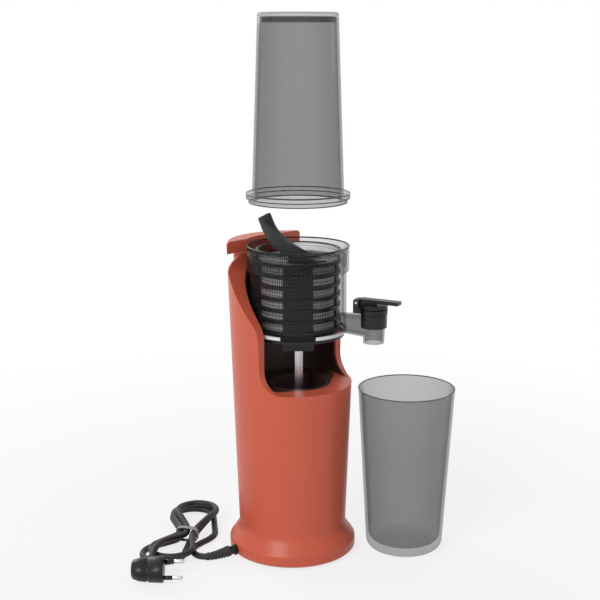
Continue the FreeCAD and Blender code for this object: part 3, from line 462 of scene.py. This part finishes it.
def add_tie():
    rings = []
    for end, grow in ((-1, 0.0), (-1, TIE_THICK), (1, TIE_THICK), (1, 0.0)):
        middle = Vector((*TIE_SPOT, TIE_HEIGHT)) + TIE_ALONG * TIE_HALF_LONG * end
        rings.append([(middle + Vector((*WAIST, 0.0)) * a + Vector((0, 0, b))) * MM
                      for a, b in rounded(TIE_CORNERS, TIE_HALF_WIDE + grow, TIE_HALF_HIGH + grow,
                                          TIE_POWER)])
    return skinned("waist_tie", rings, closed=True, faced_out=False)


# Dark liner floor and well sleeve with painted shade on the deck, a painted highlight and trim on the
# smoked pieces, turned round their axes. Millimetres.

# Dark liner floor on the deck; its wider reach behind the shaft is painted shade.
DARK_FLOOR_HOLE, DARK_FLOOR_FRONT, SHADE_MORE_BEHIND = 28.2, 32.5, 17.0   # radii
DARK_FLOOR_LOW, DARK_FLOOR_HIGH, DARK_FLOOR_EASE, DARK_FLOOR_RINGS = 176.02, 176.22, 0.1, 96
# Where round the axis the painted shade on the floor widens.
WIDENS_FROM, WIDENS_OVER = -0.75, 0.9   # the sine of the way round, front -1 and back 1
# A dark sleeve down the well's side: painted shade inside the well.
SHADE_SLEEVE_OUTLINE = [(27.9, 158.1), (27.9, 176.2), (27.3, 176.2), (27.1, 158.8), (9.0, 158.8), (9.0, 158.1)]
LINE_EASE, BAND_EASE = 0.2, 0.25
# The bowl's foot ring is a painted highlight; HUB_GAP is its gap at the hub on the camera's side.
FRONT, HUB_GAP = 223.0, 42   # degrees: the camera's side, and the foot band's gap at the hub there
NOZZLE_SIDE, NOZZLE_OUT = math.radians(-75), 82
# Inner and outer radius, lowest and highest point
FOOT_HIGHLIGHT = (47.0, 47.9, 229.0, 232.4)
NOZZLE_BAND = (11.7, 12.5, 241.5, 254.6)
TUMBLER_LIP = (46.5, 48.7, 167.6, 168.3)
LID_LINES = {"lid_rim_line": (49.2, 50.3, 313.1, 314.4), "mouth_rim_line": (39.0, 41.8, 310.2, 311.2)}
HOPPER_LINES = {"hopper_flange_line": (49.7, 50.56, 364.6, 365.8),
                "hopper_skirt_line": (49.9, 50.56, 360.7, 361.5),
                "hopper_foot_line": (47.3, 48.1, 356.4, 357.2)}


def add_liner_floor_and_shade():
    """The dark liner floor on the deck with painted shade: wide behind the shaft, narrow at the coral
    lip in front.
    """
    rings = [[], [], [], []]
    for k in range(DARK_FLOOR_RINGS):
        a = math.tau * k / DARK_FLOOR_RINGS
        back = min(1.0, max(0.0, (math.sin(a) - WIDENS_FROM) / WIDENS_OVER))
        reach = DARK_FLOOR_FRONT + SHADE_MORE_BEHIND * back * back * (3 - 2 * back)
        for ring, (r, z) in zip(rings, ((DARK_FLOOR_HOLE, DARK_FLOOR_LOW), (DARK_FLOOR_HOLE, DARK_FLOOR_HIGH),
                                        (reach - DARK_FLOOR_EASE, DARK_FLOOR_HIGH), (reach, DARK_FLOOR_LOW))):
            ring.append((BOWL_AXIS + Vector((r * math.cos(a), r * math.sin(a), z))) * MM)
    return (skinned("cavity_floor_and_painted_shade", rings, closed=True, smooth=False),
            turned("well_shade_sleeve", SHADE_SLEEVE_OUTLINE))


def add_bowl_highlight_and_nozzle_band():
    """A painted highlight ring round the bowl's foot with its gap at the hub, and the nozzle's dark
    band.
    """
    bright = band("bowl_foot_painted_highlight", *FOOT_HIGHLIGHT, BAND_EASE, start=FRONT + HUB_GAP / 2,
                  sweep=360 - HUB_GAP)
    aside = Vector((math.cos(NOZZLE_SIDE), math.sin(NOZZLE_SIDE), 0))
    return bright, band("nozzle_band", *NOZZLE_BAND, BAND_EASE, middle=BOWL_AXIS + aside * NOZZLE_OUT,
                        count=48)


def add_lines(lines):
    """Thin dark lines where smoked walls turn."""
    return [band(name, *sizes, LINE_EASE) for name, sizes in lines.items()]


# The feed wing's broad ribbon: right, forward and height from the axis as first seen, and width, mm

RIGHT, FORWARD = Vector((0.682, -0.731, 0.0)), Vector((-0.731, -0.682, 0.0))
WING_PATH = [
    ((-33.0, 2.0, 343.5), 13.4), ((-32.6, 2.6, 342.7), 13.4), ((-31.0, 5.0, 339.5), 13.5),
    ((-27.5, 13.0, 331.0), 14.0), ((-19.5, 20.5, 322.5), 14.0), ((-9.0, 26.0, 315.5), 13.0),
    ((3.0, 28.0, 310.0), 11.0), ((14.0, 25.0, 304.5), 8.0), ((20.0, 21.0, 301.0), 4.0)]
WING_HALF_THICK, WING_POWER, WING_CORNERS = 1.6, 6.0, 16


def add_wing():
    spots = [BOWL_AXIS + RIGHT * a + FORWARD * b + Vector((0, 0, z)) for (a, b, z), wide in WING_PATH]
    rings = []
    for i, (spot, (place, wide)) in enumerate(zip(spots, WING_PATH)):
        ahead = (spots[min(i + 1, len(spots) - 1)] - spots[max(i - 1, 0)]).normalized()
        across = ahead.cross(FORWARD).normalized() * -1
        face = across.cross(ahead)
        rings.append([(spot + across * a + face * b) * MM
                      for a, b in rounded(WING_CORNERS, wide / 2, WING_HALF_THICK, WING_POWER)])
    wing = skinned("feed_wing", rings)
    smooth = wing.modifiers.new("smooth", "SUBSURF")
    smooth.levels = smooth.render_levels = 2
    return wing


# Floor, light and air

WHITE = (1.0, 1.0, 1.0)
FLOOR_HALF, FLOOR_DROP = 9.0, 0.0004   # metres
AIR_LIGHT = 0.34   # what the air lends the object; the backdrop itself is seen at full white
LAMPS = [   # name, place, aim, width, height and watts
    ("key", (-2.3, -0.5, 1.9), (0.0, 0.0, 0.32), 1.0, 1.6, 40.0),
    ("side", (1.9, -0.9, 1.3), (0.0, 0.0, 0.3), 0.5, 1.8, 8.0),
    ("rear", (0.3, 2.0, 1.3), (0.0, 0.0, 0.3), 0.8, 1.6, 14.0)]


def seen(board):
    """1 for rays that see the backdrop straight, mirrored or through glass."""
    camera, glossy, through = board.node("ShaderNodeLightPath", out=[
        "Is Camera Ray", "Is Glossy Ray", "Is Transmission Ray"])
    return camera.maths("MAXIMUM", glossy).maths("MAXIMUM", through)


def add_stage():
    bm = bmesh.new()
    bmesh.ops.create_grid(bm, x_segments=2, y_segments=2, size=FLOOR_HALF)
    floor = new_mesh("floor", bm, False)
    floor.location.z = -FLOOR_DROP
    f = Finish("floor_white", base_color=(0.86, 0.86, 0.86), roughness=0.9)
    plain = f.node("ShaderNodeEmission", {}, {"Color": WHITE, "Strength": 1.0})
    away = f.node("ShaderNodeVectorMath", {"operation": "LENGTH"}, [f.where()], out=1)
    far = f.ramp(away * 0.5, [(0.15, 0.78), (0.4, 1.0)])   # pure white from 0.8 m on
    shaded = Wire(f, f.shader.outputs[0])
    mixed = f.node("ShaderNodeMixShader", {}, [seen(f) * far, shaded, plain])
    f.feed(f.tree.nodes["Material Output"].inputs["Surface"], mixed)
    f.on(floor)
    world = bpy.data.worlds.new("air")
    world.use_nodes = True
    bpy.context.scene.world = world
    air = Board(world.node_tree)
    back = air.tree.nodes["Background"]
    air.feed(back.inputs["Color"], WHITE)
    air.feed(back.inputs["Strength"], seen(air) * (1 - AIR_LIGHT) + AIR_LIGHT)


def add_lamps():
    for name, place, aim, width, height, watts in LAMPS:
        data = bpy.data.lights.new(name, "AREA")
        data.shape = "RECTANGLE"
        data.size, data.size_y, data.energy = width, height, watts
        lamp = bpy.data.objects.new(name, data)
        bpy.context.scene.collection.objects.link(lamp)
        lamp.location = place
        lamp.rotation_euler = (Vector(aim) - Vector(place)).to_track_quat("-Z", "Y").to_euler()


# Put together

set_camera()
cord_piece, cord_spots, cord_length = add_cord()
relief = add_relief(cord_spots)
plug_body, plug_boot, plug_pins = add_plug()
sleeves, metals = plug_pins[::2], plug_pins[1::2]
tie = add_tie()
# The dark floor is partly a dark liner and partly painted shade; the well sleeve is painted shade.
liner_floor_and_shade, well_shade_sleeve = add_liner_floor_and_shade()
# The bowl's foot ring is a painted highlight.
foot_highlight, nozzle_band = add_bowl_highlight_and_nozzle_band()
lid_lines = add_lines(LID_LINES)
wing = add_wing()
hopper_lines = add_lines(HOPPER_LINES)
tumbler_lip = band("tumbler_lip_line", *TUMBLER_LIP, BAND_EASE, middle=TUMBLER_AXIS)

coral().on("body_housing")
# Dark liner colour, partly standing for the shade inside the bore; also the painted shade on the deck
# floor and in the well.
moulded("dark_liner_and_painted_shade", (0.03, 0.012, 0.01), (0.045, 0.018, 0.014), 0.42).on(
    "cavity_liner", liner_floor_and_shade, well_shade_sleeve)
moulded("black_moulded", (0.0035, 0.0035, 0.004), (0.008, 0.008, 0.0085), 0.28,
        specular_ior_level=0.35).on(
    "bowl_hub", "bowl_foot_ring", "strainer_cage", "spout_collar", "spout_cap", "switch_frame",
    "switch_rocker", "base_plate", "gearbox_cover", "bearing_spider", "cord_gland", plug_body,
    *sleeves, nozzle_band, *lid_lines)
moulded("smoked_edge", (0.02, 0.02, 0.021), (0.04, 0.04, 0.041), 0.2).on(*hopper_lines, tumbler_lip)
# Near white on the smoked bowl's foot: a painted highlight.
moulded("painted_highlight_band", (0.78, 0.78, 0.79), (0.86, 0.86, 0.87), 0.2).on(foot_highlight)
moulded("auger_grey", (0.013, 0.014, 0.0145), (0.022, 0.023, 0.024), 0.36,
        specular_ior_level=0.35).on("auger", wing)
moulded("soft_rubber", (0.006, 0.006, 0.006), (0.013, 0.012, 0.0115), 0.5).on(
    "rubber_feet", "shaft_seal", "cap_seal", cord_piece, relief, plug_boot)
metal("steel_brushed", (0.56, 0.56, 0.57), (0.68, 0.68, 0.69), 0.2).on(
    "drive_shaft", "motor_spindle", "base_screws", "idler_pin", "lower_bearing", "upper_bearing",
    "output_bearing", "spout_hinge_pin", "gearbox_plate", *metals)
metal("gear_steel", (0.42, 0.42, 0.43), (0.52, 0.51, 0.5), 0.34, stretch=(1, 1, 1), scale=200.0).on(
    "motor_pinion", "idler_gear", "idler_pinion", "output_gear")
metal("lamination_iron", (0.2, 0.2, 0.21), (0.3, 0.3, 0.31), 0.45, stretch=(1, 1, 60)).on(
    "motor_can", "motor_stator", "motor_rotor")
metal("copper_wire", (0.6, 0.24, 0.1), (0.75, 0.34, 0.16), 0.3, stretch=(20, 20, 300)).on(
    "motor_windings")
moulded("circuit_green", (0.02, 0.12, 0.05), (0.04, 0.18, 0.07), 0.4).on("control_board")
smoked("smoked_plastic", thin=0.29, edge=0.72).on("feed_hopper", "hopper_cap", "tumbler")
smoked("smoked_bowl", thin=0.15, edge=0.66).on("juicing_bowl", "bowl_lid")
smoked("smoked_spout", thin=0.34, edge=0.72).on("juice_spout")
screen().on("strainer_mesh")
moulded("tie_grey", (0.3, 0.3, 0.31), (0.4, 0.4, 0.41), 0.3).on(tie)

for body, slot, pieces in (
        ("base", "black_rubber", [cord_piece, relief, plug_boot]),
        ("base", "smoked_clear", [tie]),
        ("base", "black_plastic", [plug_body, *sleeves]),
        ("base", "steel", metals),
        # Dark floor and well sleeve: dark liner with painted shade.
        ("base", "dark_liner", [liner_floor_and_shade, well_shade_sleeve]),
        ("bowl", "smoked_clear", [foot_highlight]),
        ("bowl", "black_plastic", [nozzle_band]),
        ("lid", "smoked_clear", lid_lines),
        ("auger", "black_plastic", [wing]),
        ("hopper", "smoked_clear", hopper_lines),
        ("tumbler", "smoked_clear", [tumbler_lip])):
    for piece in pieces:
        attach(piece, body)
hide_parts("power_cord", "cord_hank", "plug_lead")
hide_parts("cord_tie")
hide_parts("plug_body")
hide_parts("plug_pins")

add_stage()
add_lamps()
bpy.context.scene.view_settings.view_transform = "Standard"
